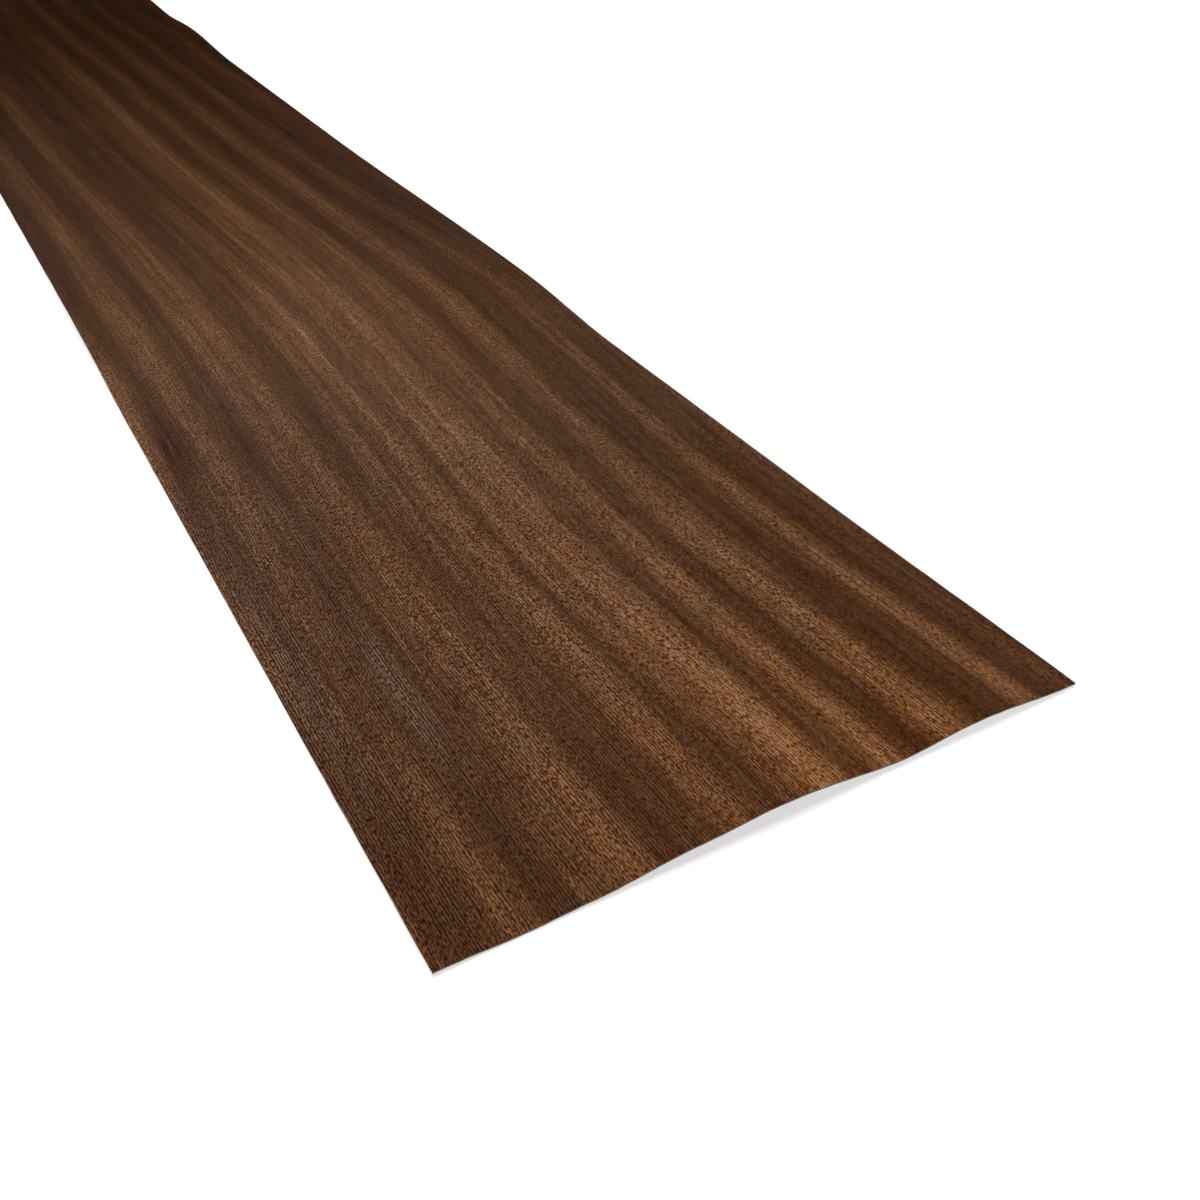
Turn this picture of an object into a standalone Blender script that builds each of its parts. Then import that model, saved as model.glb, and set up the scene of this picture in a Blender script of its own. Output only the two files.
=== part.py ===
"""Wood veneer sheet: one quarter-cut leaf of dark ribbon-figured wood, lying face up on a level floor.

The leaf is a single thin sheet of wood. Its grain runs along X, its face looks up, and its back rests on
the floor at Z = 0. The end at +X has dried into lengthwise ridges, one low hump crosses the whole leaf
further in, and the edge at +Y ripples beyond that. Everywhere else the leaf lies flat. All sizes are in
metres, and every distance "from end" is counted from the end at +X.
"""

import math

import bmesh
import bpy

# Trimmed size of the leaf
LENGTH = 2.5
WIDTH = 0.25
THICKNESS = 0.0006

# Lift of the whole end off the floor, and how far in along the leaf it fades out
END_LIFT_HEIGHT = 0.0012
END_LIFT_REACH = 0.14

# Hollow in the lifted end, between its -Y corner and the ridges
HOLLOW_DEPTH = 0.0008
HOLLOW_ACROSS = -0.096
HOLLOW_HALF_WIDTH = 0.029

# Main ridge, which runs in from the end close to the centre line and is wider on its +Y side
MAIN_RIDGE_HEIGHT = 0.0051
MAIN_RIDGE_ACROSS = -0.005
MAIN_RIDGE_LEFT_WIDTH = 0.055
MAIN_RIDGE_RIGHT_WIDTH = 0.062
MAIN_RIDGE_REACH = 0.27

# Shoulder on the main ridge's -Y side
SHOULDER_HEIGHT = 0.0018
SHOULDER_ACROSS = -0.046
SHOULDER_HALF_WIDTH = 0.027
SHOULDER_REACH = 0.2

# Second ridge, near the +Y edge
SECOND_RIDGE_HEIGHT = 0.003
SECOND_RIDGE_ACROSS = 0.08
SECOND_RIDGE_HALF_WIDTH = 0.045
SECOND_RIDGE_REACH = 0.24

# Hump right across the leaf: steep on its near side, long on its far side, its crest slightly askew
CROSS_HUMP_HEIGHT = 0.0042
CROSS_HUMP_FROM_END = 0.455
CROSS_HUMP_NEAR_LENGTH = 0.105
CROSS_HUMP_FAR_LENGTH = 0.34
CROSS_HUMP_SKEW = 0.041

# Ripples of the +Y edge, which die out towards the centre line. Each is lower than the one before it
RIPPLE_HEIGHT = 0.0044
RIPPLE_NEXT_HEIGHT = 0.6
RIPPLE_FIRST_FROM_END = 1.175
RIPPLE_PITCH = 0.2
RIPPLE_HALF_LENGTH = 0.125
RIPPLE_REACH = 0.16
RIPPLE_COUNT = 2

# Spacing of the surface's points: along the leaf where it waves and where it is flat, and across it
WAVE_STEP = 0.02
FLAT_STEP = 0.12
ACROSS_STEP = 0.01

# Oiled-looking dark brown wood, unfinished
WOOD_COLOUR = (0.162, 0.078, 0.04, 1.0)
WOOD_ROUGHNESS = 0.6


def swell(offset, before, after):
    """Cosine-squared bump: 1 at offset 0, and 0 from `before` short of it and from `after` past it."""
    reach = before if offset < 0.0 else after
    if abs(offset) >= reach:
        return 0.0
    return math.cos(0.5 * math.pi * offset / reach) ** 2


def end_waves(from_end, across):
    """Lift, hollow and ridges of the end, each level at the end itself and faded out at its own reach."""
    lift = END_LIFT_HEIGHT - HOLLOW_DEPTH * swell(across - HOLLOW_ACROSS, HOLLOW_HALF_WIDTH, HOLLOW_HALF_WIDTH)
    main = MAIN_RIDGE_HEIGHT * swell(across - MAIN_RIDGE_ACROSS, MAIN_RIDGE_LEFT_WIDTH, MAIN_RIDGE_RIGHT_WIDTH)
    shoulder = SHOULDER_HEIGHT * swell(across - SHOULDER_ACROSS, SHOULDER_HALF_WIDTH, SHOULDER_HALF_WIDTH)
    second = SECOND_RIDGE_HEIGHT * swell(
        across - SECOND_RIDGE_ACROSS, SECOND_RIDGE_HALF_WIDTH, SECOND_RIDGE_HALF_WIDTH)
    height = lift * swell(from_end, END_LIFT_REACH, END_LIFT_REACH)
    height += main * swell(from_end, MAIN_RIDGE_REACH, MAIN_RIDGE_REACH)
    height += shoulder * swell(from_end, SHOULDER_REACH, SHOULDER_REACH)
    height += second * swell(from_end, SECOND_RIDGE_REACH, SECOND_RIDGE_REACH)
    return height


def cross_hump(from_end, across):
    """The hump across the leaf. Its crest is nearer to the end on the +Y side by the skew."""
    crest = CROSS_HUMP_FROM_END - CROSS_HUMP_SKEW * across / WIDTH
    return CROSS_HUMP_HEIGHT * swell(from_end - crest, CROSS_HUMP_NEAR_LENGTH, CROSS_HUMP_FAR_LENGTH)


def edge_ripples(from_end, across):
    """Evenly spaced ripples of the +Y edge, level at the edge and gone at their reach inside it."""
    inside = swell(WIDTH / 2.0 - across, RIPPLE_REACH, RIPPLE_REACH)
    height = 0.0
    for number in range(RIPPLE_COUNT):
        crest = RIPPLE_FIRST_FROM_END + number * RIPPLE_PITCH
        top = RIPPLE_HEIGHT * RIPPLE_NEXT_HEIGHT ** number
        height += top * inside * swell(from_end - crest, RIPPLE_HALF_LENGTH, RIPPLE_HALF_LENGTH)
    return height


def back_height(x, y):
    """Height of the leaf's back above the floor."""
    from_end = LENGTH / 2.0 - x
    return end_waves(from_end, y) + cross_hump(from_end, y) + edge_ripples(from_end, y)


def row_distances():
    """Distances from the end of the rows of points: close where the leaf waves, wide where it is flat."""
    last_ripple = RIPPLE_FIRST_FROM_END + (RIPPLE_COUNT - 1) * RIPPLE_PITCH
    stops = [
        (CROSS_HUMP_FROM_END + CROSS_HUMP_SKEW / 2.0 + CROSS_HUMP_FAR_LENGTH, WAVE_STEP),
        (RIPPLE_FIRST_FROM_END - RIPPLE_HALF_LENGTH, FLAT_STEP),
        (last_ripple + RIPPLE_HALF_LENGTH, WAVE_STEP),
        (LENGTH, FLAT_STEP),
    ]
    distances = [0.0]
    for stop, step in stops:
        start = distances[-1]
        count = math.ceil((stop - start) / step)
        distances += [start + (stop - start) * number / count for number in range(1, count + 1)]
    return distances


def make_wood():
    """Plain material of the leaf."""
    wood = bpy.data.materials.new("dark_ribbon_veneer")
    wood.use_nodes = True
    shader = wood.node_tree.nodes["Principled BSDF"]
    shader.inputs["Base Color"].default_value = WOOD_COLOUR
    shader.inputs["Roughness"].default_value = WOOD_ROUGHNESS
    shader.inputs["Metallic"].default_value = 0.0
    return wood


def make_leaf(collection, wood):
    """The leaf: a grid laid on the surface of its back, with Solidify growing the wood upwards from it."""
    distances = row_distances()
    rows = len(distances) - 1
    columns = math.ceil(WIDTH / ACROSS_STEP)
    surface = bmesh.new()
    bmesh.ops.create_grid(surface, x_segments=rows, y_segments=columns, size=0.5)
    for point in surface.verts:
        row = round((0.5 - point.co.x) * rows)
        x = LENGTH / 2.0 - distances[row]
        y = WIDTH * point.co.y
        point.co = (x, y, back_height(x, y))
    mesh = bpy.data.meshes.new("veneer_sheet")
    surface.to_mesh(mesh)
    surface.free()
    mesh.shade_smooth()
    mesh.materials.append(wood)

    leaf = bpy.data.objects.new("veneer_sheet", mesh)
    collection.objects.link(leaf)
    wall = leaf.modifiers.new("wood thickness", "SOLIDIFY")
    wall.thickness = THICKNESS
    wall.offset = 1.0
    wall.use_even_offset = True
    shading = leaf.modifiers.new("crisp edges", "WEIGHTED_NORMAL")
    shading.mode = "FACE_AREA"
    return leaf


def main():
    for old in list(bpy.data.objects):
        bpy.data.objects.remove(old, do_unlink=True)
    collection = bpy.data.collections.new("wood_veneer_sheet")
    bpy.context.scene.collection.children.link(collection)
    make_leaf(collection, make_wood())


main()
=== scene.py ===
"""Looks of the wood veneer sheet: a long quarter-cut leaf with ribbons, growth lines and open pores.

The leaf lies on a white floor with its ridged end towards the camera. Its surface is worked out on a
fine grid from the same waves as the solid, and its figure is procedural. Lengths are in metres, and
in millimetres where a name ends in _mm or a comment says so. "From end" is counted from the ridged
end at +X. Where a range is given as four numbers, they are what goes in, from and to, and what comes
out, from and to.
"""

import math
from collections import namedtuple

import bpy
import numpy as np
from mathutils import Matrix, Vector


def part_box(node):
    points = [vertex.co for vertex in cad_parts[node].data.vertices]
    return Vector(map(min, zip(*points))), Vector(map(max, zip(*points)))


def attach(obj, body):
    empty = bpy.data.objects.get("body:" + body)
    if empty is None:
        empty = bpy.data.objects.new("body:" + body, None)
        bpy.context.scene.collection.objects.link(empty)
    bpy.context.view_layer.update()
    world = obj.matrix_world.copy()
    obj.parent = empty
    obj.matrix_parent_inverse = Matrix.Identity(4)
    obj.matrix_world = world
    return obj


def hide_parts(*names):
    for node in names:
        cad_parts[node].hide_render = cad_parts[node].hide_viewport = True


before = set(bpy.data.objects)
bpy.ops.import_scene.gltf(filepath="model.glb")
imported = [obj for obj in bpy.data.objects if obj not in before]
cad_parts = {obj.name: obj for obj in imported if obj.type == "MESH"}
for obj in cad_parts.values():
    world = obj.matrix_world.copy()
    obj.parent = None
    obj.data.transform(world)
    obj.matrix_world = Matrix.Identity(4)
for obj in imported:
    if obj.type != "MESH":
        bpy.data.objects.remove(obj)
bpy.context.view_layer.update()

# The leaf: its length, from the frame, its width and the thickness of its wood
leaf_low, leaf_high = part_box("veneer_sheet")
LENGTH = leaf_high.x - leaf_low.x
WIDTH = 0.25
THICKNESS = 0.0006
MM_PER_METRE = 1000.0

# A cosine-squared wave: its height, its place, and how far it reaches on either side
Wave = namedtuple("Wave", "height place before after")

# Waves of the ridged end, placed across the leaf, each with how far it runs in from the end
END_LIFT = 0.0012
END_LIFT_RUN = 0.14
END_WAVES = [
    (Wave(-0.0008, -0.096, 0.029, 0.029), END_LIFT_RUN),
    (Wave(0.0051, -0.005, 0.055, 0.062), 0.27),
    (Wave(0.0018, -0.046, 0.027, 0.027), 0.2),
    (Wave(0.003, 0.08, 0.045, 0.045), 0.24),
]

# Hump across the leaf, placed along it, with its crest askew
CROSS_HUMP = Wave(0.0042, 0.455, 0.105, 0.34)
CROSS_HUMP_SKEW = 0.041

# Ripples of the +Y edge, placed along it, and how far they reach in from the edge
EDGE_RIPPLES = [Wave(0.0044, 1.175, 0.125, 0.125), Wave(0.00264, 1.375, 0.125, 0.125)]
EDGE_RIPPLE_REACH = 0.16

# Spacing of the grid: along the leaf up to the end of its waves, along the flat rest, and across
WAVY_LENGTH = 1.5
WAVY_STEP = 0.005
FLAT_STEP = 0.0125
ACROSS_STEP = 0.0025

# Shallow corrugation of the dried wood: its height, and its pitch across and along the leaf
CORRUGATION = 0.00008
CORRUGATION_ACROSS, CORRUGATION_ALONG = 0.017, 0.19

# How far the sawn sides and cut ends wander inwards, and at what pitch. A side's wander fades out over a
# rim that goes this many times into half the leaf's width
EDGE_WANDER = 0.00018
SIDE_WANDER_PITCH, END_WANDER_PITCH = 0.011, 0.0031
RIMS_PER_HALF = 25.0

# Smooth noise: how many numbers it draws before it repeats, which of them stands at 0, and its seeds
NOISE_NUMBERS = 4096
NOISE_START = 1024.0
SIDE_SEED, END_SEED, ACROSS_SEED, ALONG_SEED, RIBBON_SEED = 1, 2, 3, 4, 100

# Edges of the leaf's mesh are sharp above this angle
SHARP_ANGLE = math.radians(40.0)

# Bake map, in shares of its side: the margin at both ends of the leaf and the stretch between them, where
# the face and the back begin and how high they are, and the step and the height of the strips for the four
# walls, with the length of those for the cut ends
MAP_MARGIN, MAP_ALONG = 0.004, 0.992
MAP_FACE_FROM, MAP_FACE_SHARE = 0.25, 0.745
MAP_BACK_FROM, MAP_BACK_SHARE = 0.05, 0.195
STRIP_STEP, STRIP_HEIGHT, END_STRIP_LENGTH = 0.01, 0.006, 0.4

# How the grain drifts sideways along the leaf: (from end, shift across in mm)
GRAIN_DRIFT = [
    (0.0, 0), (0.15, -2), (0.35, -0.5), (0.5, -3.5), (0.6, -6), (0.7, -11), (0.8, -16), (0.9, -19),
    (1.05, -23), (1.2, -29), (1.4, -34), (1.8, -28), (2.2, -30), (2.5, -24),
]
# Extra sway of the grain on the +Y half, over the first stretch from the end
SWAY_MM = 4.5
SWAY_LENGTH = 0.6

# Light ribbons of the figure: centre and reach to each side in mm, how far the centre moves further in, in
# mm, and how light the ribbon is at each of the stops, which are distances from the end
Ribbon = namedtuple("Ribbon", "centre left right shift strengths")
RIBBON_STOPS = [0.02, 0.1, 0.2, 0.35, 0.5, 0.7, 1.05]
RIBBONS = [
    Ribbon(-126, 9, 11, 0, [0.15, 0.1, 0.35, 0.95, 0.35, 0.1, 0.1]),
    Ribbon(-98, 14, 14, 5, [0.35, 0.17, 0.2, 0.45, 0.64, 0.65, 0.75]),
    Ribbon(-71, 9, 7, 0, [0.3, 0.05, 0.12, 0.44, 0.68, 0.2, 0.0]),
    Ribbon(-60, 10, 14, -1, [0.7, 0.4, 0.3, 0.42, 0.65, 0.75, 0.95]),
    Ribbon(-46, 9, 9, 0, [0.0, 0.0, 0.0, 0.0, 0.0, 0.12, 0.3]),
    Ribbon(-33, 7, 6, 0, [0.15, 0.1, 0.12, 0.35, 0.4, 0.15, 0.05]),
    Ribbon(-20, 11, 9, 0, [0.75, 0.6, 0.58, 0.5, 0.78, 0.2, 0.35]),
    Ribbon(-3, 7, 8, 0, [0.25, 0.48, 0.42, 0.42, 0.57, 0.4, 0.3]),
    # These four are lightest at the ridged end: partly their figure, partly painted light on the slopes of
    # the ridges
    Ribbon(14, 18, 12, 0, [1.3, 0.9, 0.65, 0.52, 0.7, 0.95, 1.05]),
    Ribbon(40, 12, 11, 2, [1.25, 0.62, 0.35, 0.27, 0.38, 0.5, 0.75]),
    Ribbon(67, 14, 12, 5, [1.25, 0.65, 0.5, 0.5, 0.58, 0.75, 0.75]),
    Ribbon(101, 11, 9, -1, [1.05, 0.78, 0.53, 0.33, 0.25, 0.4, 0.6]),
    Ribbon(121, 9, 7, 0, [0.25, 0.05, 0.05, 0.08, 0.04, 0.0, 0.2]),
    Ribbon(132, 12, 12, 0, [0.1, 0.2, 0.4, 0.2, 0.1, 0.2, 0.6]),
    Ribbon(155, 10, 14, -2, [0.0, 0.0, 0.0, 0.0, 0.0, 0.4, 0.6]),
    Ribbon(-45, 34, 28, 0, [0.0, 0.1, 0.12, 0.05, 0.08, 0.0, 0.0]),
    Ribbon(-4, 30, 30, 0, [0.03, 0.14, 0.17, 0.18, 0.25, 0.1, 0.06]),
    Ribbon(32, 26, 28, 0, [0.2, 0.08, 0.16, 0.24, 0.32, 0.12, 0.05]),
]
RIBBON_SHIFT_FROM, RIBBON_SHIFT_TO = 0.5, 0.7
# How much lighter the wood is on a ribbon of strength 1, in shares of the wood between the ribbons
RIBBON_GAIN = 2.2
# Past this distance from the end the ribbons grow lighter or darker by up to the change, from one such
# length to the next, around a level that is lower by the loss. The loss is painted shade, darkening the far
# part as the lamps' light falls off there. Both come in over the first such length
FAR_START = 1.05
FAR_CHANGE_LENGTH = 0.4
FAR_CHANGE = 0.6
FAR_PAINTED_SHADE = 0.25

# An area of the leaf: distance from the end and reach to either side, centre and reach across the grain in
# mm, and what it adds in its middle
Area = namedtuple("Area", "from_end before after centre reach amount")

# Painted sheen: grey light added to the wood's colour, standing in for the silky reflection of its fibres.
# Below 0 an area takes greyness away
PAINTED_SHEENS = [
    Area(0.12, 0.075, 0.08, -84, 9, 2.1),
    Area(0.14, 0.1, 0.17, -113, 10, 1.6),
    Area(0.25, 0.12, 0.16, -84, 9, 0.7),
    Area(0.22, 0.14, 0.25, -35, 7, 0.6),
    Area(0.45, 0.3, 0.4, -60, 160, 0.25),
    Area(0.16, 0.07, 0.16, 26, 12, 0.3),
    Area(0.2, 0.09, 0.2, 54, 10, 0.28),
    Area(0.28, 0.12, 0.25, 84, 15, 0.2),
    Area(0.3, 0.12, 0.25, 114, 12, 0.25),
    Area(1.0, 0.3, 0.6, 0, 160, 0.3),
    Area(0.0, 0.05, 0.25, 45, 120, -0.85),
    Area(0.2, 0.15, 0.2, 0, 260, -0.85),
    Area(0.42, 0.12, 0.25, -115, 10, -0.6),
    Area(0.42, 0.12, 0.2, -85, 8, -0.35),
    Area(0.15, 0.14, 0.14, 105, 30, -0.5),
    Area(0.33, 0.06, 0.06, -114, 10, -1.4),
    Area(0.53, 0.12, 0.14, -114, 10, -0.9),
    Area(0.32, 0.06, 0.06, -85, 8, -1.0),
    Area(0.36, 0.12, 0.16, -45, 7, -0.7),
    Area(0.56, 0.1, 0.14, 105, 30, -0.4),
]

# Patches that are lighter or darker in tone than the ribbons alone. The first begins, and the second
# breaks off, at a line across the grain
PATCHES = [
    Area(0.31, 0.008, 0.11, -110, 10, -0.14),
    Area(0.432, 0.12, 0.006, -119, 7, 0.15),
    Area(0.15, 0.12, 0.13, 0, 260, 0.033),
    Area(0.315, 0.1, 0.07, -80, 13, -0.125),
    Area(0.325, 0.06, 0.12, -104, 8, -0.11),
    Area(0.42, 0.06, 0.12, -85, 7, 0.09),
    Area(0.42, 0.07, 0.12, -115, 9, 0.1),
    Area(0.46, 0.09, 0.08, -95, 6, 0.05),
    Area(0.42, 0.08, 0.1, -65, 6, 0.045),
    # Across the whole width: painted light, lightening the wood where the lamps' light falls off
    Area(0.9, 0.1, 0.08, 0, 260, 0.02),
    Area(0.345, 0.12, 0.12, -43, 8, -0.075),
    Area(0.31, 0.12, 0.1, -11, 5, -0.05),
    Area(0.24, 0.06, 0.05, -111, 7, -0.035),
    Area(0.63, 0.12, 0.1, 112, 26, -0.055),
]

# How much the fine grain stands out along the leaf: (from end, strength)
GRAIN_STRENGTH = [
    (0.0, 0.97), (0.06, 1.22), (0.12, 1.5), (0.25, 1.65), (0.4, 1.1), (0.65, 0.65), (2.5, 0.75),
]

# Colours of the wood, linear, for tones from 0, the darkest fibres, to 1, the palest. Equal steps of the
# tone make the wood lighter by equal shares. The span is how many times lighter the palest red is
WOOD_COLOURS = [
    (0.0, (0.022, 0.0076, 0.0029, 1.0)),
    (0.25, (0.0443, 0.0157, 0.0053, 1.0)),
    (0.5, (0.0892, 0.0341, 0.0109, 1.0)),
    (0.75, (0.18, 0.0721, 0.0237, 1.0)),
    (1.0, (0.362, 0.158, 0.059, 1.0)),
]
TONE_SPAN = WOOD_COLOURS[-1][1][0] / WOOD_COLOURS[0][1][0]
TONES_PER_SHARE = 1.0 / math.log(TONE_SPAN)
PORE_COLOUR = (0.024, 0.0034, 0.0003, 1.0)
# Pale colour of the cut edges: partly their end grain, partly painted light, as the lamps barely reach the
# walls
EDGE_COLOUR = (0.7, 0.54, 0.36, 1.0)
# How fast the red, the green and the blue follow the fine grain from dark to light
FINE_SPEEDS = (1.0, 1.85, 2.9)
# Painted sheen: light added to the colour where the grey sheen is 1, and how fast it follows the fine grain
PAINTED_SHEEN_COLOUR = (0.0101, 0.0073, 0.0058)
PAINTED_SHEEN_SPEED = 1.6

# Noises drawn out along the grain: length and width of a cell in mm, detail, and a layer of its own. Only
# the specks of the cut edges are as wide as they are long
Fibres = namedtuple("Fibres", "run pitch detail layer")
NOISE_ROUGHNESS = 0.55
BROAD = Fibres(130.0, 3.0, 1.5, 7.0)
MOTTLE = Fibres(6.0, 2.4, 2.0, 41.0)
STREAKS = Fibres(20.0, 0.5, 1.0, 3.0)
DASHES = Fibres(1.9, 0.42, 0.5, 61.0)
RED_PATCHES = Fibres(18.0, 3.0, 1.0, 71.0)
BLUE_PATCHES = Fibres(12.0, 3.5, 1.5, 83.0)
PAINTED_SHEEN_STREAKS = Fibres(30.0, 0.7, 1.0, 97.0)
PORE_TURN = Fibres(24.0, 5.0, 1.0, 31.0)
PORE_PATCHES = Fibres(17.0, 5.0, 2.0, 53.0)
LINE_WAVER = Fibres(180.0, 7.0, 2.0, 11.0)
LINE_FADE = Fibres(45.0, 4.0, 2.0, 23.0)
EDGE_SPECKS = Fibres(0.5, 0.5, 3.0, 0.0)

# What the broad noise and the mottle add to the tone, and how strongly the patches tint red and blue
BROAD_TONE, MOTTLE_TONE = 0.6, 0.2
RED_TINT, BLUE_TINT = 0.42, 0.8

# Fine grain: its level without noise, how far streaks, dashes and growth lines move it, how light streaks,
# dashes and all of it may get, and how much stronger it is where the painted grey sheen is 1
FINE_START = 0.015
STREAK_GRAIN, DASH_GRAIN, LINE_GRAIN = 0.85, 2.6, 0.3
STREAK_TOP, DASH_TOP, FINE_TOP = 0.08, 0.06, 0.12
PAINTED_SHEEN_GRAIN = 0.2

# Growth lines: pitch and waver in mm, how they fade here and there, and how they weaken on a ribbon
LINE_PITCH_MM = 1.15
LINE_WAVER_MM = 2.56
LINE_FADE_RANGE = (0.35, 0.6, 0.25, 1.0)
LINE_ON_RIBBON = (0.0, 0.3, 1.05, 0.9)

# Open pores, in mm: the cells that hold one dash each, the dash, how far it slants as the grain turns, and
# the share of the cells that do hold one
Pores = namedtuple("Pores", "cell_length cell_width length width slant share")
SHORT_PORES = Pores(2.2, 0.8, 1.9, 0.5, 0.35, 0.58)
LONG_PORES = Pores(15.0, 0.8, 14.0, 0.26, 0.0, 0.7)
# The long pores stand this far from the short ones' pattern, and are this dark beside them
LONG_PORES_ASIDE_MM = 517.0
LONG_PORE_STRENGTH = 0.5
# How freely the pores scatter, the half length of one as a share of the length, how soft its rim is, and
# how dark it is
PORE_SCATTER = 0.85
PORE_HALF_LENGTH = (0.0, 1.0, 0.25, 0.65)
PORE_RIM = (0.75, 1.1, 1.0, 0.0)
PORE_DARKNESS = (0.0, 1.0, 0.9, 1.0)
# How the short pores come in patches, and how they grow darker on a ribbon
PORE_PATCH_RANGE = (0.36, 0.58, 0.65, 1.0)
PORE_ON_RIBBON = (0.0, 0.25, 0.65, 1.0)
# How far the colour of the pores covers the wood
PORE_STRENGTH = 0.95

# How the painted light of the grey sheen comes in streaks, and how specks break up the pale cut edges
PAINTED_SHEEN_RANGE = (0.4, 0.6, 0.0, 2.0)
SPECK_RANGE = (0.28, 0.5, 0.0, 1.0)

# Relief of the broad sides: depth, strength, and the parts that streaks, growth lines and pores have in it
RELIEF_DEPTH = 0.00008
RELIEF_STRENGTH = 0.6
STREAK_RELIEF, LINE_RELIEF, PORE_RELIEF = 0.5, 0.15, -1.0

# Tone and roughness of the face and of the duller back, and the roughness that a pore adds
FACE_TONE = 0.425
FACE_ROUGHNESS = 0.52
BACK_TONE = 0.4
BACK_ROUGHNESS = 0.75
PORE_ROUGHNESS = 0.2
EDGE_ROUGHNESS = 0.85
WOOD_SPECULAR = 0.2

# Lamps: foot on the floor, height, side, spread and power. The floor is white where it is seen, by its own
# glow, which leaves out what the lamps lay on it
Lamp = namedtuple("Lamp", "name x y height side spread watts")
LAMPS = [
    Lamp("near_softbox", 1.072, -0.08, 0.92, 0.5, math.radians(130.0), 5.0),
    Lamp("far_softbox", -0.85, 0.0, 0.75, 0.45, math.radians(85.0), 1.05),
]
FLOOR_REACH = 30.0
FLOOR_ALBEDO = 0.38
FLOOR_WHITE = 1.08
WORLD_FILL = 0.012
WHITE = (1.0, 1.0, 1.0, 1.0)

# Cards that only reflections see: a black curtain beyond the far end, and bright ones for the silky sheen
Card = namedtuple("Card", "name x y width low high strength")
CARDS = [
    Card("black_curtain", -1.85, 0.0, 24.0, 0.0, 14.0, 0.0),
    Card("near_left_sheen", 0.75, -0.1, 0.3, 0.03, 0.3, 0.25),
    Card("near_right_sheen", 0.75, 0.22, 0.34, 0.03, 0.25, 0.05),
    Card("far_left_sheen", 0.0, -0.25, 0.4, 0.4, 0.66, 2.5),
    Card("far_right_sheen", 0.0, 0.45, 0.5, 0.4, 0.66, 0.9),
]

# Camera of the photograph: place relative to the middle of the ridged end, and direction
CAMERA_OUT = 0.2105
CAMERA_ACROSS = -0.1916
CAMERA_HEIGHT = 0.2901
CAMERA_PITCH = math.radians(53.52)
CAMERA_HEADING = math.radians(60.25)
CAMERA_LENS_MM = 37.275
CAMERA_SENSOR_MM = 36.0
CAMERA_NEAREST = 0.01


def lobe(offset, before, after):
    """Cosine squared of a quarter turn times offset over reach: 1 at 0, and 0 beyond either reach."""
    reach = np.where(offset < 0.0, before, after)
    share = np.clip(np.abs(offset) / reach, 0.0, 1.0)
    return np.cos(0.5 * np.pi * share) ** 2


def back_height(from_end, across):
    """Height of the leaf's back: the sum of the lifted end, its ridges, the cross hump and the ripples."""
    height = END_LIFT * lobe(from_end, END_LIFT_RUN, END_LIFT_RUN)
    for wave, run in END_WAVES:
        ridge = wave.height * lobe(across - wave.place, wave.before, wave.after)
        height = height + ridge * lobe(from_end, run, run)
    crest = CROSS_HUMP.place - CROSS_HUMP_SKEW * across / WIDTH
    height = height + CROSS_HUMP.height * lobe(from_end - crest, CROSS_HUMP.before, CROSS_HUMP.after)
    inside = lobe(WIDTH / 2.0 - across, EDGE_RIPPLE_REACH, EDGE_RIPPLE_REACH)
    for wave in EDGE_RIPPLES:
        ripple = wave.height * inside
        height = height + ripple * lobe(from_end - wave.place, wave.before, wave.after)
    return height


def smooth_noise(values, pitch, seed):
    """Seeded random numbers one pitch apart, joined by a cosine ease, from 0 to 1."""
    numbers = np.random.default_rng(seed).random(NOISE_NUMBERS)
    place = values / pitch + NOISE_START
    cell = np.floor(place).astype(int)
    ease = 0.5 - 0.5 * np.cos(np.pi * (place - cell))
    return numbers[cell % NOISE_NUMBERS] * (1.0 - ease) + numbers[(cell + 1) % NOISE_NUMBERS] * ease


def curve_through(points, at):
    """Value of a smooth curve through the points: a cubic in each span, with its neighbours' slopes."""
    x, y = np.array(points, float).T
    slope = np.gradient(y, x)
    span = np.clip(np.searchsorted(x, at) - 1, 0, len(x) - 2)
    width = x[span + 1] - x[span]
    t = np.clip((at - x[span]) / width, 0.0, 1.0)
    start = (1.0 + 2.0 * t) * (1.0 - t) ** 2
    lead = t * (1.0 - t) ** 2 * width
    finish = t * t * (3.0 - 2.0 * t)
    trail = t * t * (t - 1.0) * width
    return start * y[span] + lead * slope[span] + finish * y[span + 1] + trail * slope[span + 1]


def grain_across_mm(from_end, across):
    """Place across the undrifted grain: across, less the common drift, less the sway of the +Y half."""
    sway = -SWAY_MM * np.sin(2.0 * np.pi * np.clip(from_end / SWAY_LENGTH, 0.0, 1.0))
    share = np.clip(0.5 + across / WIDTH, 0.0, 1.0)
    return across * MM_PER_METRE - curve_through(GRAIN_DRIFT, from_end) - sway * share


def ribbon_tone(from_end, grain_mm):
    """Tone that the ribbons add: the logarithm of 1 plus their sum times the gain. Each is a lobe across
    the grain times its lightness at that distance from the end."""
    total = np.zeros_like(from_end)
    far = np.clip((from_end - FAR_START) / FAR_CHANGE_LENGTH, 0.0, 1.0)
    moved = np.clip((from_end - RIBBON_SHIFT_FROM) / (RIBBON_SHIFT_TO - RIBBON_SHIFT_FROM), 0.0, 1.0)
    for number, ribbon in enumerate(RIBBONS):
        strength = np.interp(from_end, RIBBON_STOPS, ribbon.strengths)
        change = smooth_noise(from_end, FAR_CHANGE_LENGTH, RIBBON_SEED + number) - 0.5
        strength = strength * (1.0 - FAR_PAINTED_SHADE * far + 2.0 * FAR_CHANGE * far * change)
        centre = ribbon.centre + ribbon.shift * moved
        total = total + strength * lobe(grain_mm - centre, ribbon.left, ribbon.right)
    return TONES_PER_SHARE * np.log1p(RIBBON_GAIN * total)


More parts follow.
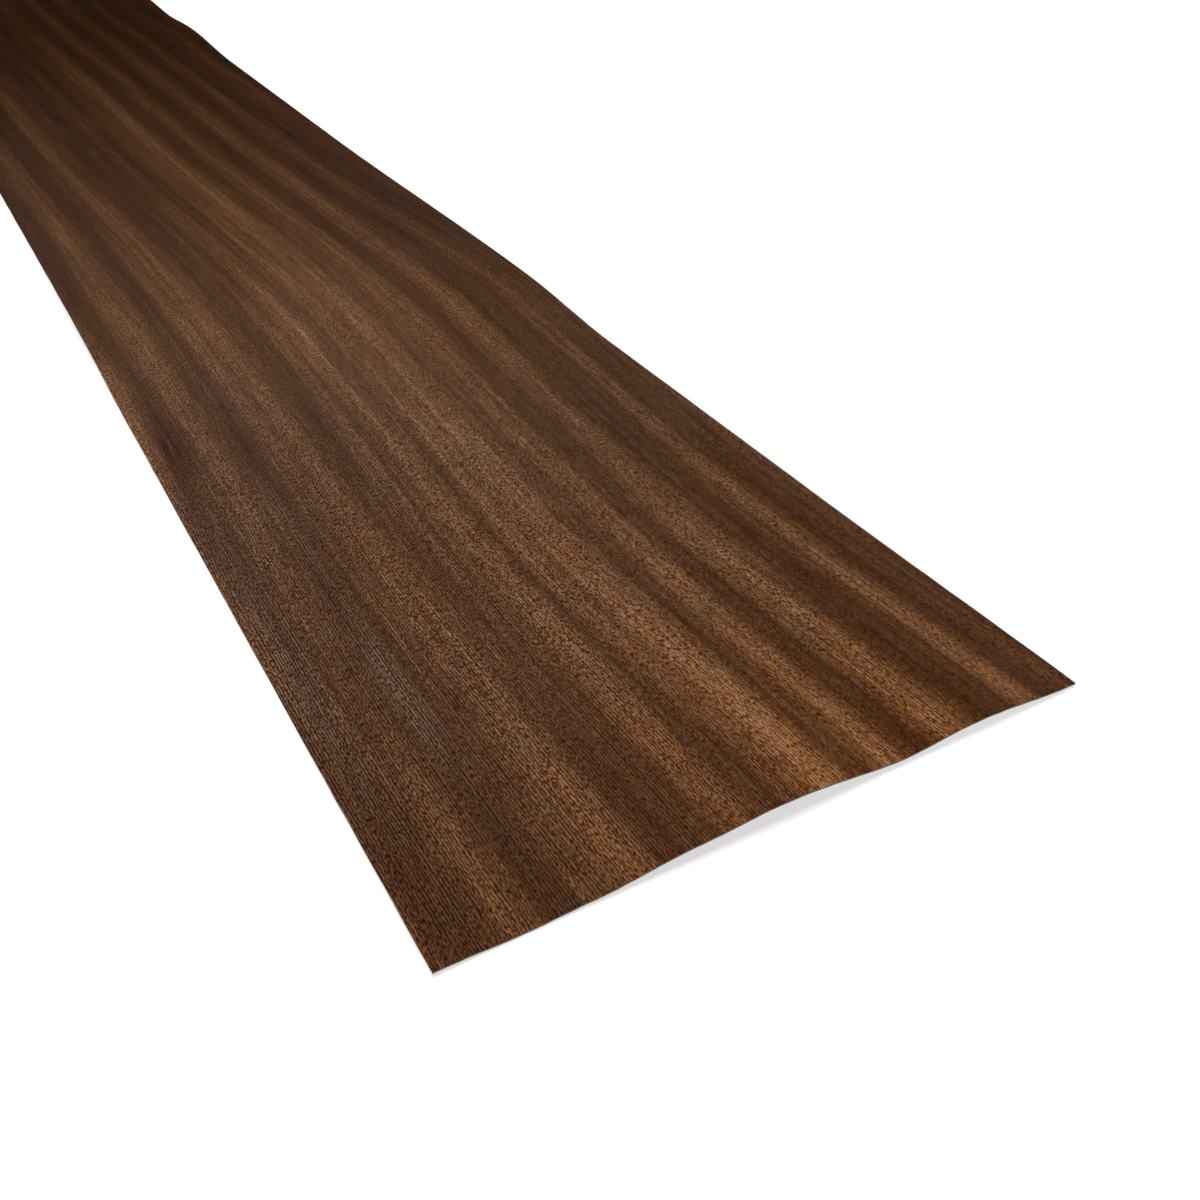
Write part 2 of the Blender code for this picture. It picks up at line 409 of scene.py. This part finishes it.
def sum_of_areas(areas, from_end, grain_mm):
    """What the areas add: for each its amount, times a lobe along, times a lobe across the grain."""
    total = np.zeros_like(from_end)
    for area in areas:
        along = lobe(from_end - area.from_end, area.before, area.after)
        total = total + area.amount * along * lobe(grain_mm - area.centre, area.reach, area.reach)
    return total


def grid_lines():
    """Distances along and across of the grid's lines, closer along the leaf where it waves."""
    wavy = np.linspace(0.0, WAVY_LENGTH, round(WAVY_LENGTH / WAVY_STEP) + 1)
    flat = np.linspace(WAVY_LENGTH, LENGTH, round((LENGTH - WAVY_LENGTH) / FLAT_STEP) + 1)[1:]
    from_end = np.concatenate([wavy, flat])[::-1]
    across = np.linspace(-WIDTH / 2.0, WIDTH / 2.0, round(WIDTH / ACROSS_STEP) + 1)
    return from_end, across


def leaf_back(from_end, across):
    """Points of the back: the sum of the waves, and a corrugation that is the product of two smooth noises.
    Sides and ends wander inwards by a smooth noise, the sides over their rim."""
    rim = np.clip(np.abs(across) / (WIDTH / 2.0) * RIMS_PER_HALF - (RIMS_PER_HALF - 1.0), 0.0, 1.0)
    side = EDGE_WANDER * smooth_noise(from_end, SIDE_WANDER_PITCH, SIDE_SEED) * rim * np.sign(across)
    near_end = np.clip(1.0 - from_end / WAVY_STEP, 0.0, 1.0)
    far_end = np.clip(1.0 - (LENGTH - from_end) / FLAT_STEP, 0.0, 1.0)
    end = EDGE_WANDER * smooth_noise(across, END_WANDER_PITCH, END_SEED) * (near_end - far_end)

    across_noise = smooth_noise(across, CORRUGATION_ACROSS, ACROSS_SEED)
    along_noise = smooth_noise(from_end, CORRUGATION_ALONG, ALONG_SEED)
    height = back_height(from_end, across) + CORRUGATION * (across_noise * along_noise)
    return LENGTH / 2.0 - from_end - end, across - side, height


def leaf_face(x, y, z):
    """Points of the face: the back moved by the thickness along the surface's upright, without its sideways
    parts on the outline."""
    along_slope = np.gradient(z, axis=0) / np.gradient(x, axis=0)
    across_slope = np.gradient(z, axis=1) / np.gradient(y, axis=1)
    upright = np.stack([-along_slope, -across_slope, np.ones_like(z)], axis=-1)
    upright /= np.linalg.norm(upright, axis=-1, keepdims=True)
    upright[0, :, :2] = upright[-1, :, :2] = 0.0
    upright[:, 0, :2] = upright[:, -1, :2] = 0.0
    return np.stack([x, y, z], axis=-1) + THICKNESS * upright


def wall_faces(first, second, lower, upper):
    """Quads of an edge wall between a lower and an upper line of points, walked from first to second."""
    return np.stack([lower[first], lower[second], upper[second], upper[first]], axis=-1)


def leaf_quads(rows, columns):
    """Quads of the face's grid, of the back's, turned over, and of a strip of wall on each side."""
    above = np.arange(rows * columns).reshape(rows, columns)
    below = above + rows * columns
    face = np.stack([above[:-1, :-1], above[1:, :-1], above[1:, 1:], above[:-1, 1:]], axis=-1)
    face = face.reshape(-1, 4)
    back = face[:, ::-1] + rows * columns
    step, along_up, along_down = np.arange(columns - 1), np.arange(rows - 1), np.arange(1, rows)
    walls = np.concatenate([
        wall_faces(along_up, along_down, below[:, 0], above[:, 0]),
        wall_faces(along_down, along_up, below[:, -1], above[:, -1]),
        wall_faces(step, step + 1, below[-1], above[-1]),
        wall_faces(step + 1, step, below[0], above[0]),
    ])
    return np.concatenate([face, back, walls]), len(face)


def leaf_surface():
    """Closed surface of the leaf: its points, its quads, how many of them are the face's, and the distance
    from the end and the place across that each point stands for."""
    from_end, across = np.meshgrid(*grid_lines(), indexing="ij")
    x, y, z = leaf_back(from_end, across)
    back = np.stack([x, y, z], axis=-1)
    points = np.concatenate([leaf_face(x, y, z).reshape(-1, 3), back.reshape(-1, 3)])
    quads, face_count = leaf_quads(*from_end.shape)
    place = np.stack([from_end, across], axis=-1).reshape(-1, 2)
    return points, quads, face_count, np.tile(place, (2, 1))


def bake_map(points, quads, face_count):
    """Flat layout of the surface: face on the upper three quarters, back below it, walls in thin strips."""
    corners = points[quads]
    along = corners[..., 0] / LENGTH + 0.5
    across = np.clip(corners[..., 1] / WIDTH + 0.5, 0.0, 1.0)
    face, back, walls = slice(face_count), slice(face_count, 2 * face_count), slice(2 * face_count, None)
    layout = np.empty(quads.shape + (2,))
    layout[..., 0] = MAP_MARGIN + MAP_ALONG * along
    layout[face, :, 1] = MAP_FACE_FROM + MAP_FACE_SHARE * across[face]
    layout[back, :, 1] = MAP_BACK_FROM + MAP_BACK_SHARE * across[back]

    centre = corners[walls].mean(axis=1)
    at_end = np.abs(centre[:, 0]) > LENGTH / 2.0 - EDGE_WANDER
    positive = np.where(at_end, centre[:, 0], centre[:, 1]) > 0.0
    strip = MAP_MARGIN + STRIP_STEP * (2 * at_end + positive)
    top = np.array([0.0, 0.0, 1.0, 1.0])
    layout[walls, :, 1] = strip[:, None] + STRIP_HEIGHT * top
    end_along = MAP_MARGIN + END_STRIP_LENGTH * across[walls]
    layout[walls, :, 0] = np.where(at_end[:, None], end_along, layout[walls, :, 0])
    return layout


def make_leaf(face_wood, back_wood, edge_wood):
    """Builds the leaf's mesh with its bake map and the attributes that carry its figure."""
    points, quads, face_count, place = leaf_surface()
    mesh = bpy.data.meshes.new("veneer_leaf")
    mesh.from_pydata(points, [], quads)
    for wood in (face_wood, back_wood, edge_wood):
        mesh.materials.append(wood)
    slots = np.repeat([0, 1, 2], [face_count, face_count, len(quads) - 2 * face_count])
    mesh.polygons.foreach_set("material_index", slots.astype(np.int32))

    from_end, across = place.T
    grain = grain_across_mm(from_end, across)
    carried = {
        "grain_mm": grain,
        "ribbon": ribbon_tone(from_end, grain) + sum_of_areas(PATCHES, from_end, grain),
        # painted sheen: grey light to be added to the wood's colour at each point
        "sheen": sum_of_areas(PAINTED_SHEENS, from_end, grain),
        "grain_strength": np.interp(from_end, *np.array(GRAIN_STRENGTH).T),
    }
    for name, values in carried.items():
        attribute = mesh.attributes.new(name, "FLOAT", "POINT")
        attribute.data.foreach_set("value", values.astype(np.float32))
    layer = mesh.uv_layers.new(name="OFBake")
    layer.uv.foreach_set("vector", bake_map(points, quads, face_count).astype(np.float32).ravel())
    mesh.shade_smooth()
    mesh.set_sharp_from_angle(angle=SHARP_ANGLE)
    leaf = bpy.data.objects.new("veneer_leaf", mesh)
    bpy.context.scene.collection.objects.link(leaf)
    return leaf


def put(tree, value, socket):
    """Links a socket into another, or writes a plain value on it."""
    if isinstance(value, bpy.types.NodeSocket):
        tree.links.new(value, socket)
    else:
        socket.default_value = value


def calc(tree, operation, *values, clamp=False):
    """A Math node."""
    node = tree.nodes.new("ShaderNodeMath")
    node.operation = operation
    node.use_clamp = clamp
    for value, socket in zip(values, node.inputs):
        put(tree, value, socket)
    return node.outputs[0]


def remap(tree, value, low, high, to_low, to_high, smooth=False):
    """A Map Range node, clamped."""
    node = tree.nodes.new("ShaderNodeMapRange")
    node.interpolation_type = "SMOOTHSTEP" if smooth else "LINEAR"
    for given, socket in zip((value, low, high, to_low, to_high), node.inputs):
        put(tree, given, socket)
    return node.outputs[0]


def join_xyz(tree, x, y, z=0.0):
    """A Combine XYZ node."""
    node = tree.nodes.new("ShaderNodeCombineXYZ")
    for given, socket in zip((x, y, z), node.inputs):
        put(tree, given, socket)
    return node.outputs[0]


def split_xyz(tree, vector):
    """A Separate XYZ node."""
    node = tree.nodes.new("ShaderNodeSeparateXYZ")
    put(tree, vector, node.inputs[0])
    return node.outputs


def mix_colour(tree, share, first, second, blend="MIX"):
    """A Mix node for colours."""
    node = tree.nodes.new("ShaderNodeMix")
    node.data_type = "RGBA"
    node.blend_type = blend
    put(tree, share, node.inputs["Factor"])
    put(tree, first, node.inputs[6])
    put(tree, second, node.inputs[7])
    return node.outputs[2]


def stretched_noise(tree, along, across, fibres):
    """Noise drawn out along the grain: one cell is as long and as wide as the fibres say."""
    node = tree.nodes.new("ShaderNodeTexNoise")
    cell_along = calc(tree, "DIVIDE", along, fibres.run)
    cell_across = calc(tree, "DIVIDE", across, fibres.pitch)
    put(tree, join_xyz(tree, cell_along, cell_across, fibres.layer), node.inputs["Vector"])
    node.inputs["Scale"].default_value = 1.0
    node.inputs["Detail"].default_value = fibres.detail
    node.inputs["Roughness"].default_value = NOISE_ROUGHNESS
    return node.outputs["Fac"]


def swing(tree, along, across, fibres):
    """Stretched noise around 0."""
    return calc(tree, "SUBTRACT", stretched_noise(tree, along, across, fibres), 0.5)


def add_up(tree, start, *parts):
    """The start plus each part times its weight."""
    total = start
    for value, weight in parts:
        total = calc(tree, "MULTIPLY_ADD", value, weight, total)
    return total


def new_group(name, inputs, outputs):
    """An empty node group: named number inputs with their defaults, and named outputs with their kinds."""
    group = bpy.data.node_groups.new(name, "ShaderNodeTree")
    for label, default in inputs.items():
        socket = group.interface.new_socket(name=label, in_out="INPUT", socket_type="NodeSocketFloat")
        socket.default_value = default
    for label, kind in outputs.items():
        group.interface.new_socket(name=label, in_out="OUTPUT", socket_type="NodeSocket" + kind)
    enter = group.nodes.new("NodeGroupInput")
    leave = group.nodes.new("NodeGroupOutput")
    return group, enter.outputs, leave.inputs


def use_group(tree, group, **values):
    """Places a group in a tree, with its inputs given by name, spaces written as underscores."""
    node = tree.nodes.new("ShaderNodeGroup")
    node.node_tree = group
    for label, value in values.items():
        put(tree, value, node.inputs[label.replace("_", " ")])
    return node.outputs


def pores_group():
    """Open pores: in each cell of a stretched Voronoi pattern, one slanted dash around the cell's point.

    The dash is an ellipse of the drawn length and the given width, leaned by the slant. A drawn number
    leaves some cells empty, and another sets how dark the dash is.
    """
    inputs = {
        "Along": 0.0, "Across": 0.0, "Cell length": SHORT_PORES.cell_length,
        "Cell width": SHORT_PORES.cell_width, "Length": SHORT_PORES.length, "Width": SHORT_PORES.width,
        "Slant": 0.0, "Share": SHORT_PORES.share,
    }
    group, given, made = new_group("open_pores", inputs, {"Mask": "Float"})
    cell_length, cell_width = given["Cell length"], given["Cell width"]
    cells = group.nodes.new("ShaderNodeTexVoronoi")
    cells.voronoi_dimensions = "2D"
    cells.inputs["Scale"].default_value = 1.0
    cells.inputs["Randomness"].default_value = PORE_SCATTER
    cell_along = calc(group, "DIVIDE", given["Along"], cell_length)
    cell_across = calc(group, "DIVIDE", given["Across"], cell_width)
    put(group, join_xyz(group, cell_along, cell_across), cells.inputs["Vector"])
    point = split_xyz(group, cells.outputs["Position"])
    draw = split_xyz(group, cells.outputs["Color"])

    near_along = calc(group, "MULTIPLY", calc(group, "SUBTRACT", cell_along, point[0]), cell_length)
    near_across = calc(group, "MULTIPLY", calc(group, "SUBTRACT", cell_across, point[1]), cell_width)
    leaning = calc(group, "MULTIPLY_ADD", near_along, given["Slant"], near_across)
    half_length = calc(group, "MULTIPLY", given["Length"], remap(group, draw[0], *PORE_HALF_LENGTH))
    along_share = calc(group, "DIVIDE", near_along, half_length)
    across_share = calc(group, "DIVIDE", leaning, calc(group, "MULTIPLY", given["Width"], 0.5))
    square = calc(group, "MULTIPLY", across_share, across_share)
    reach = calc(group, "SQRT", calc(group, "MULTIPLY_ADD", along_share, along_share, square))
    dash = remap(group, reach, *PORE_RIM, smooth=True)
    present = calc(group, "LESS_THAN", draw[1], given["Share"])
    depth = remap(group, draw[2], *PORE_DARKNESS)
    put(group, calc(group, "MULTIPLY", calc(group, "MULTIPLY", dash, present), depth), made["Mask"])
    return group


def growth_lines_group():
    """Growth lines: narrow dark dips across the grain, wavered by a long noise, that fade here and there.

    The height is 3/4 less twice the square of a wave from 0 to 1, which is 0 on average, times the fade.
    """
    inputs = {"Along": 0.0, "Across": 0.0, "Pitch": LINE_PITCH_MM, "Waver": LINE_WAVER_MM}
    group, given, made = new_group("growth_lines", inputs, {"Height": "Float"})
    along, across = given["Along"], given["Across"]
    waver = stretched_noise(group, along, across, LINE_WAVER)
    moved = calc(group, "MULTIPLY_ADD", waver, given["Waver"], across)
    turn = calc(group, "MULTIPLY", calc(group, "DIVIDE", moved, given["Pitch"]), 2.0 * math.pi)
    wave = calc(group, "MULTIPLY_ADD", calc(group, "SINE", turn), 0.5, 0.5)
    dip = calc(group, "MULTIPLY_ADD", calc(group, "MULTIPLY", wave, wave), -2.0, 0.75)
    fade = remap(group, stretched_noise(group, along, across, LINE_FADE), *LINE_FADE_RANGE)
    put(group, calc(group, "MULTIPLY", dip, fade), made["Height"])
    return group


def wood_ramp(tree, tone):
    """Colour of the wood for a tone."""
    ramp = tree.nodes.new("ShaderNodeValToRGB")
    ramp.color_ramp.interpolation = "LINEAR"
    stops = ramp.color_ramp.elements
    stops[0].position, stops[0].color = WOOD_COLOURS[0]
    stops[1].position, stops[1].color = WOOD_COLOURS[-1]
    for position, colour in WOOD_COLOURS[1:-1]:
        stops.new(position).color = colour
    put(tree, tone, ramp.inputs[0])
    return ramp.outputs[0]


def plain_wood(group, given):
    """Wood without its fine grain: the colour of the tone, which is the ribbon's tone plus a broad noise and
    a mottle, tinted redder or greener and bluer or yellower in patches."""
    along, across = given["Along"], given["Across"]
    broad = swing(group, along, across, BROAD)
    mottle = swing(group, along, across, MOTTLE)
    tone = add_up(group, given["Tone"], (given["Ribbon"], 1.0), (broad, BROAD_TONE), (mottle, MOTTLE_TONE))
    red = add_up(group, 1.0, (swing(group, along, across, RED_PATCHES), RED_TINT))
    blue = add_up(group, 1.0, (swing(group, along, across, BLUE_PATCHES), BLUE_TINT))
    return mix_colour(group, 1.0, wood_ramp(group, tone), join_xyz(group, red, 1.0, blue), "MULTIPLY")


def pore_mask(group, given, pores):
    """Mask of the pores: short ones in patches, darkest on the ribbons, and faint long vessel lines."""
    along, across = given["Along"], given["Across"]
    slant = calc(group, "MULTIPLY", swing(group, along, across, PORE_TURN), SHORT_PORES.slant)
    width = calc(group, "MULTIPLY", given["Grain strength"], SHORT_PORES.width)
    short = use_group(group, pores, Along=along, Across=across, Width=width, Slant=slant)["Mask"]
    aside = calc(group, "ADD", across, LONG_PORES_ASIDE_MM)
    long = use_group(group, pores, Along=along, Across=aside, Cell_length=LONG_PORES.cell_length,
                     Cell_width=LONG_PORES.cell_width, Length=LONG_PORES.length, Width=LONG_PORES.width,
                     Slant=LONG_PORES.slant, Share=LONG_PORES.share)["Mask"]
    patch = remap(group, stretched_noise(group, along, across, PORE_PATCHES), *PORE_PATCH_RANGE)
    on_ribbon = remap(group, given["Ribbon"], *PORE_ON_RIBBON)
    short = calc(group, "MULTIPLY", calc(group, "MULTIPLY", short, patch), on_ribbon)
    return calc(group, "MAXIMUM", short, calc(group, "MULTIPLY", long, LONG_PORE_STRENGTH), clamp=True)


def grain_share(group, fine, speed):
    """By how many times the fine grain lightens a colour that follows it at the given speed."""
    return calc(group, "POWER", TONE_SPAN ** speed, fine)


def painted_sheen_light(group, given, fine):
    """Painted sheen: grey light added to the wood's colour, its colour times its strength, in streaks,
    following the fine grain.
    """
    streaks = stretched_noise(group, given["Along"], given["Across"], PAINTED_SHEEN_STREAKS)
    grey = calc(group, "MULTIPLY", given["Sheen"], remap(group, streaks, *PAINTED_SHEEN_RANGE))
    grey = calc(group, "MULTIPLY", grey, grain_share(group, fine, PAINTED_SHEEN_SPEED))
    return join_xyz(group, *[calc(group, "MULTIPLY", grey, level) for level in PAINTED_SHEEN_COLOUR])


def figure_group(pores, lines):
    """Figure of the wood: ribbons broken up by noise, the fine grain, the painted grey sheen, and the pores.

    The fine grain is the sum of fibre streaks, short dashes and growth lines, kept from getting too light.
    It lightens or darkens the plain wood, the green faster than the red and the blue faster still. The
    painted sheen's grey light is added to that, and the pores are drawn last.
    """
    inputs = {
        "Along": 0.0, "Across": 0.0, "Ribbon": 0.0, "Sheen": 0.0, "Tone": FACE_TONE,
        "Grain strength": 1.0, "Pore strength": PORE_STRENGTH,
    }
    outputs = {"Color": "Color", "Pores": "Float", "Relief": "Float"}
    group, given, made = new_group("ribbon_figure", inputs, outputs)
    along, across = given["Along"], given["Across"]
    streak = calc(group, "MINIMUM", swing(group, along, across, STREAKS), STREAK_TOP)
    dash = calc(group, "MINIMUM", swing(group, along, across, DASHES), DASH_TOP)
    line = use_group(group, lines, Along=along, Across=across)["Height"]
    line = calc(group, "MULTIPLY", line, remap(group, given["Ribbon"], *LINE_ON_RIBBON))
    fine = add_up(group, FINE_START, (streak, STREAK_GRAIN), (dash, DASH_GRAIN), (line, LINE_GRAIN))
    strength = add_up(group, given["Grain strength"], (given["Sheen"], PAINTED_SHEEN_GRAIN))
    fine = calc(group, "MULTIPLY", calc(group, "MINIMUM", fine, FINE_TOP), strength)

    grain = join_xyz(group, *[grain_share(group, fine, speed) for speed in FINE_SPEEDS])
    wood = mix_colour(group, 1.0, plain_wood(group, given), grain, "MULTIPLY")
    # the painted sheen: grey light added to the colour
    wood = mix_colour(group, 1.0, wood, painted_sheen_light(group, given, fine), "ADD")
    pore = pore_mask(group, given, pores)
    shown = calc(group, "MULTIPLY", pore, given["Pore strength"])
    relief = add_up(group, 0.0, (streak, STREAK_RELIEF), (line, LINE_RELIEF), (pore, PORE_RELIEF))
    put(group, mix_colour(group, shown, wood, PORE_COLOUR), made["Color"])
    put(group, pore, made["Pores"])
    put(group, relief, made["Relief"])
    return group


def new_material(name):
    """A material with its shader's tree, and its Principled shader."""
    material = bpy.data.materials.new(name)
    material.use_nodes = True
    tree = material.node_tree
    return material, tree, tree.nodes["Principled BSDF"]


def object_place(tree):
    """X, Y and Z of the place on the object."""
    return split_xyz(tree, tree.nodes.new("ShaderNodeTexCoord").outputs["Object"])


def carried_value(tree, name):
    """A number that the leaf's mesh carries at each point."""
    node = tree.nodes.new("ShaderNodeAttribute")
    node.attribute_name = name
    return node.outputs["Fac"]


def wood_material(name, figure, tone, roughness):
    """A broad side of the leaf: the figure at the given tone, rougher in its pores, with their relief.

    The place on the grain is in millimetres: along it from the object's X, across it from the leaf.
    """
    material, tree, shader = new_material(name)
    along = calc(tree, "MULTIPLY", object_place(tree)[0], MM_PER_METRE)
    wood = use_group(tree, figure, Along=along, Across=carried_value(tree, "grain_mm"),
                     Ribbon=carried_value(tree, "ribbon"), Sheen=carried_value(tree, "sheen"), Tone=tone,
                     Grain_strength=carried_value(tree, "grain_strength"))
    put(tree, wood["Color"], shader.inputs["Base Color"])
    rougher = calc(tree, "MULTIPLY_ADD", wood["Pores"], PORE_ROUGHNESS, roughness)
    put(tree, rougher, shader.inputs["Roughness"])
    shader.inputs["Specular IOR Level"].default_value = WOOD_SPECULAR
    bump = tree.nodes.new("ShaderNodeBump")
    bump.inputs["Strength"].default_value = RELIEF_STRENGTH
    bump.inputs["Distance"].default_value = RELIEF_DEPTH
    put(tree, wood["Relief"], bump.inputs["Height"])
    put(tree, bump.outputs[0], shader.inputs["Normal"])
    return material


def edge_material():
    """The cut sides and ends: pale, rough end grain with fine specks, its paleness partly painted light."""
    material, tree, shader = new_material("veneer_cut_edge")
    here = object_place(tree)
    along = calc(tree, "MULTIPLY", here[0], MM_PER_METRE)
    across = calc(tree, "MULTIPLY", here[1], MM_PER_METRE)
    pale = remap(tree, stretched_noise(tree, along, across, EDGE_SPECKS), *SPECK_RANGE)
    put(tree, mix_colour(tree, pale, PORE_COLOUR, EDGE_COLOUR), shader.inputs["Base Color"])
    shader.inputs["Roughness"].default_value = EDGE_ROUGHNESS
    shader.inputs["Specular IOR Level"].default_value = WOOD_SPECULAR
    return material


def seen_directly(tree):
    """1 for rays of the camera, of reflections and through glass, and 0 for the rest."""
    path = tree.nodes.new("ShaderNodeLightPath")
    direct = calc(tree, "MAXIMUM", path.outputs["Is Camera Ray"], path.outputs["Is Glossy Ray"])
    return calc(tree, "MAXIMUM", direct, path.outputs["Is Transmission Ray"])


def lamp_pool(tree, x, y, lamp):
    """Level of a lamp's light at a place on the floor.

    It falls off with height squared over distance squared, all squared, and, as the lamp's spread is that
    of a grid, in a straight line with the sideways distance over the height.
    """
    off_x, off_y = calc(tree, "SUBTRACT", x, lamp.x), calc(tree, "SUBTRACT", y, lamp.y)
    foot = calc(tree, "MULTIPLY_ADD", off_x, off_x, calc(tree, "MULTIPLY", off_y, off_y))
    share = calc(tree, "DIVIDE", lamp.height ** 2, calc(tree, "ADD", foot, lamp.height ** 2))
    grid = math.tan(lamp.spread / 2.0)
    sideways = calc(tree, "DIVIDE", calc(tree, "SQRT", foot), lamp.height)
    passed = calc(tree, "MAXIMUM", calc(tree, "SUBTRACT", grid, sideways), 0.0)
    level = lamp.watts / (math.pi * lamp.height) ** 2 / (grid - lamp.spread / 2.0)
    fall_off = calc(tree, "MULTIPLY", share, share)
    return calc(tree, "MULTIPLY", fall_off, calc(tree, "MULTIPLY", passed, level))


def make_panel(name, points):
    """A flat quad of the studio."""
    mesh = bpy.data.meshes.new(name)
    mesh.from_pydata(points, [], [(0, 1, 2, 3)])
    panel = bpy.data.objects.new(name, mesh)
    bpy.context.scene.collection.objects.link(panel)
    return panel


def studio_material(name, albedo):
    """A matt grey of the studio that glows white by its emission strength."""
    material, tree, shader = new_material(name)
    shader.inputs["Base Color"].default_value = (albedo, albedo, albedo, 1.0)
    shader.inputs["Roughness"].default_value = 1.0
    shader.inputs["Specular IOR Level"].default_value = 0.0
    shader.inputs["Emission Color"].default_value = WHITE
    return material, tree, shader


def make_floor():
    """White floor. Where it is seen, it glows by as much as the lamps' light on bare floor falls short of
    white."""
    corners = ((-1.0, -1.0), (1.0, -1.0), (1.0, 1.0), (-1.0, 1.0))
    floor = make_panel("studio_floor", [(FLOOR_REACH * x, FLOOR_REACH * y, 0.0) for x, y in corners])
    material, tree, shader = studio_material("studio_floor_white", FLOOR_ALBEDO)
    here = object_place(tree)
    lit = calc(tree, "ADD", *[lamp_pool(tree, here[0], here[1], lamp) for lamp in LAMPS])
    missing = calc(tree, "SUBTRACT", FLOOR_WHITE, calc(tree, "MULTIPLY", lit, FLOOR_ALBEDO))
    put(tree, calc(tree, "MULTIPLY", missing, seen_directly(tree)), shader.inputs["Emission Strength"])
    floor.data.materials.append(material)


def make_card(card):
    """Upright card across the leaf's length that only reflections see: black, or glowing."""
    left, right = card.y - card.width / 2.0, card.y + card.width / 2.0
    corners = ((left, card.low), (right, card.low), (right, card.high), (left, card.high))
    panel = make_panel(card.name, [(card.x, y, z) for y, z in corners])
    material, _, shader = studio_material(card.name, 0.0)
    shader.inputs["Emission Strength"].default_value = card.strength
    panel.data.materials.append(material)
    panel.visible_camera = panel.visible_diffuse = panel.visible_shadow = False


def make_world():
    """World that is white where it is seen, and gives the leaf only a little even light."""
    world = bpy.data.worlds.new("white_studio")
    bpy.context.scene.world = world
    world.use_nodes = True
    tree = world.node_tree
    background = tree.nodes["Background"]
    background.inputs["Color"].default_value = WHITE
    put(tree, remap(tree, seen_directly(tree), 0.0, 1.0, WORLD_FILL, 1.0), background.inputs["Strength"])


def make_lamp(lamp):
    """Square soft lamp that shines straight down."""
    data = bpy.data.lights.new(lamp.name, "AREA")
    data.shape = "SQUARE"
    data.size = lamp.side
    data.spread = lamp.spread
    data.energy = lamp.watts
    softbox = bpy.data.objects.new(lamp.name, data)
    softbox.location = (lamp.x, lamp.y, lamp.height)
    softbox.visible_glossy = False
    bpy.context.scene.collection.objects.link(softbox)


def make_camera():
    """Camera at the photograph's place and direction."""
    data = bpy.data.cameras.new("photo_camera")
    data.lens = CAMERA_LENS_MM
    data.sensor_width = CAMERA_SENSOR_MM
    data.clip_start = CAMERA_NEAREST
    camera = bpy.data.objects.new("photo_camera", data)
    camera.location = (LENGTH / 2.0 + CAMERA_OUT, CAMERA_ACROSS, CAMERA_HEIGHT)
    camera.rotation_euler = (CAMERA_PITCH, 0.0, CAMERA_HEADING)
    bpy.context.scene.collection.objects.link(camera)
    bpy.context.scene.camera = camera


make_camera()
make_world()
make_floor()
for card in CARDS:
    make_card(card)
for lamp in LAMPS:
    make_lamp(lamp)

figure = figure_group(pores_group(), growth_lines_group())
face_wood = wood_material("veneer_face", figure, FACE_TONE, FACE_ROUGHNESS)
back_wood = wood_material("veneer_back", figure, BACK_TONE, BACK_ROUGHNESS)
leaf = make_leaf(face_wood, back_wood, edge_material())
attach(leaf, "root")
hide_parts("veneer_sheet")

bpy.context.scene.view_settings.view_transform = "Standard"
